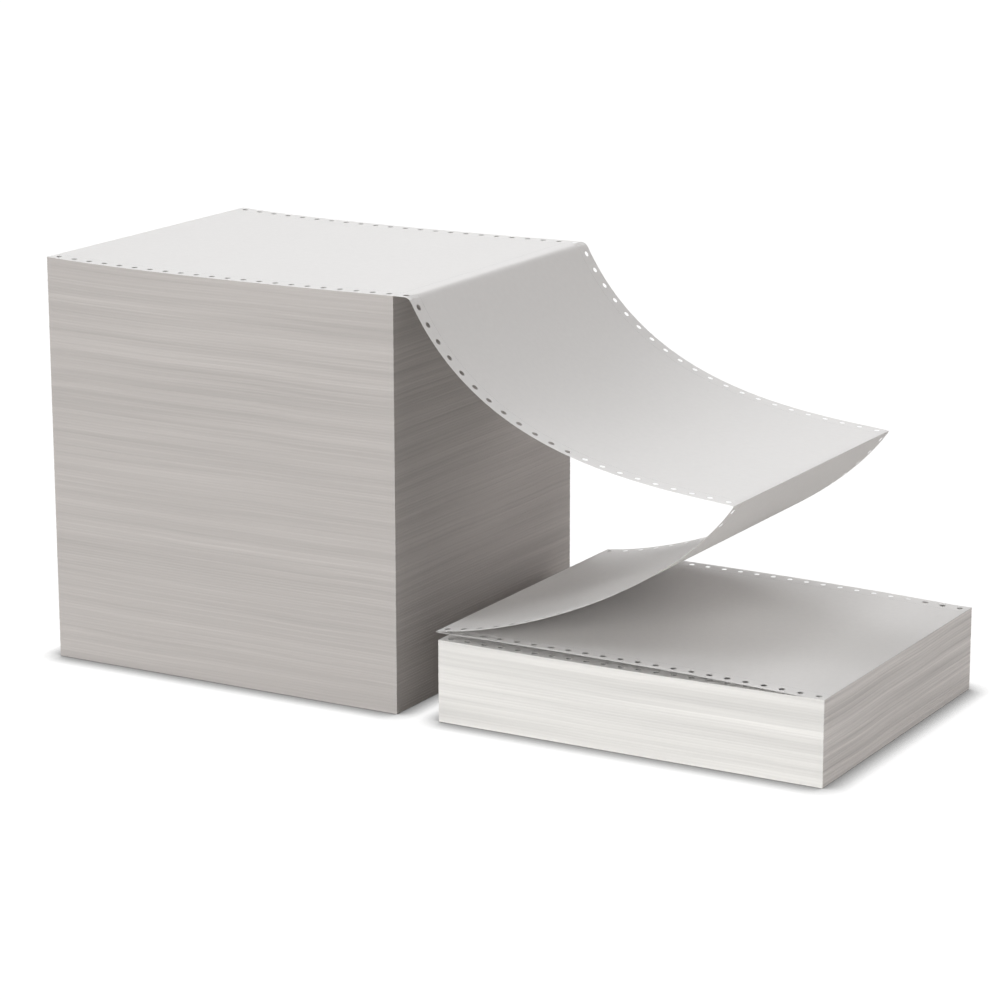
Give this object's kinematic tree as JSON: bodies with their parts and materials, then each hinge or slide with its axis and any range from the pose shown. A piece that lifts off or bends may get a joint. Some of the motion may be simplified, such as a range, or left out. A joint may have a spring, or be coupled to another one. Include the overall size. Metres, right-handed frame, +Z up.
{
  "type": "fanfold continuous form paper",
  "caption": "Fanfold form paper with tractor holes: a tall stack whose top sheets run off, hang in a loose zigzag and fold down onto a low stack beside it.",
  "frame": {"origin": "on the floor, midway between the outer ends of the two stacks and midway across the form's width", "axes": "+X along the web, from the tall stack to the low stack; +Y across the form, away from the near cut edge; +Z up"},
  "size_m": [0.591, 0.2414, 0.2863],
  "materials": {
    "paper": "matt uncoated white bond, with faint lines where the sheets' edges lie on each other"
  },
  "bodies": {
    "root": {"fanfold_paper": "paper"}
  },
  "joints": []
}
